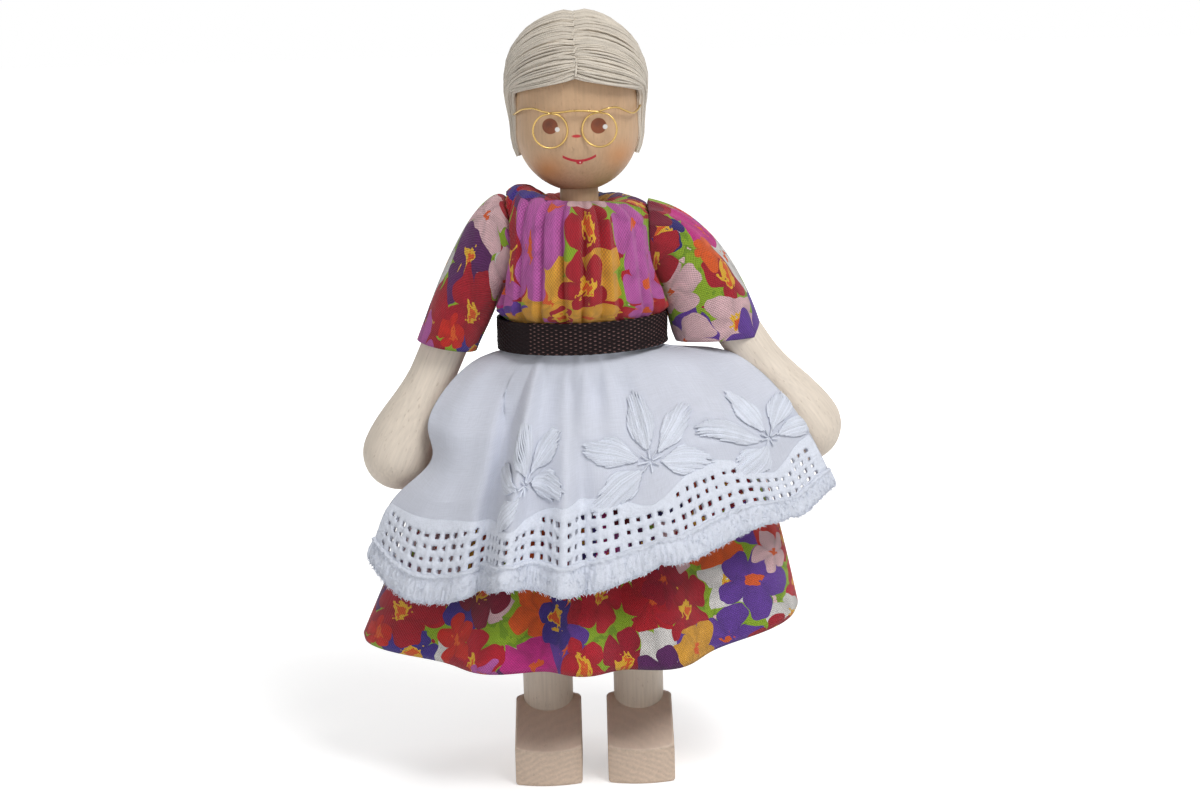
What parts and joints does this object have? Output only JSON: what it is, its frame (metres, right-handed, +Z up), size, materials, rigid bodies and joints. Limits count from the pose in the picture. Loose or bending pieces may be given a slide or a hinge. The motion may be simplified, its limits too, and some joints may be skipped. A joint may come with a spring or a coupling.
{
  "type": "miniature doll",
  "caption": "Turned wooden miniature doll with yarn hair, wire spectacles, floral dress, ribbon belt and embroidered apron; head, arms and hips move.",
  "frame": {"origin": "middle of the doll's box, on the floor under its shoes", "axes": "+Z up, the doll faces -Y, +X to the doll's left"},
  "size_m": [0.0772, 0.0552, 0.1205],
  "materials": {
    "pale_wood": "bare turned wood, fine open grain",
    "head_wood": "bare turned wood with a painted face",
    "shoe_wood": "bare sawn wood, end grain at the toe",
    "yarn": "cream yarn laid from a sewn parting",
    "gold_wire": "bright bent wire",
    "floral_cotton": "plain-weave cotton with a many-coloured floral print",
    "white_cotton": "white embroidered cotton with eyelets and a scalloped edge",
    "brown_ribbon": "ribbed grosgrain ribbon",
    "elastic_cord": "covered elastic cord"
  },
  "bodies": {
    "torso": {"torso": "pale_wood", "neck_peg": "pale_wood", "shoulder_elastic": "elastic_cord", "bodice": "floral_cotton", "belt": "brown_ribbon", "skirt": "floral_cotton", "apron": "white_cotton"},
    "head": {"head": "head_wood", "hair_wig": "yarn", "parting_stitch": "yarn", "spectacles": "gold_wire"},
    "left_arm": {"left_arm": "pale_wood", "left_sleeve": "floral_cotton"},
    "right_arm": {"right_arm": "pale_wood", "right_sleeve": "floral_cotton"},
    "hips": {"hip_dowel": "pale_wood"},
    "left_leg": {"left_leg": "pale_wood", "left_shoe": "shoe_wood"},
    "right_leg": {"right_leg": "pale_wood", "right_shoe": "shoe_wood"}
  },
  "joints": [
    {"name": "head_turn", "type": "hinge", "parent": "torso", "child": "head", "pos_m": [-0.00192, 0.00092, 0.0923], "axis": [0, 0, 1], "continuous": true},
    {"name": "left_shoulder", "type": "hinge", "parent": "torso", "child": "left_arm", "pos_m": [0.01268, 0.00092, 0.0845], "axis": [-1, 0, 0], "range_deg": [-45, 150], "deforming": ["apron"]},
    {"name": "right_shoulder", "type": "hinge", "parent": "torso", "child": "right_arm", "pos_m": [-0.01652, 0.00092, 0.0845], "axis": [-1, 0, 0], "range_deg": [-45, 150], "deforming": ["apron"]},
    {"name": "sit", "type": "hinge", "parent": "torso", "child": "hips", "pos_m": [-0.00192, 0.00092, 0.052], "axis": [-1, 0, 0], "range_deg": [-10, 90], "deforming": ["skirt", "apron"]},
    {"name": "left_step", "type": "hinge", "parent": "hips", "child": "left_leg", "pos_m": [0.00538, 0.00092, 0.052], "axis": [-1, 0, 0], "range_deg": [-15, 8]},
    {"name": "right_step", "type": "hinge", "parent": "hips", "child": "right_leg", "pos_m": [-0.00922, 0.00092, 0.052], "axis": [-1, 0, 0], "range_deg": [-15, 8]}
  ]
}
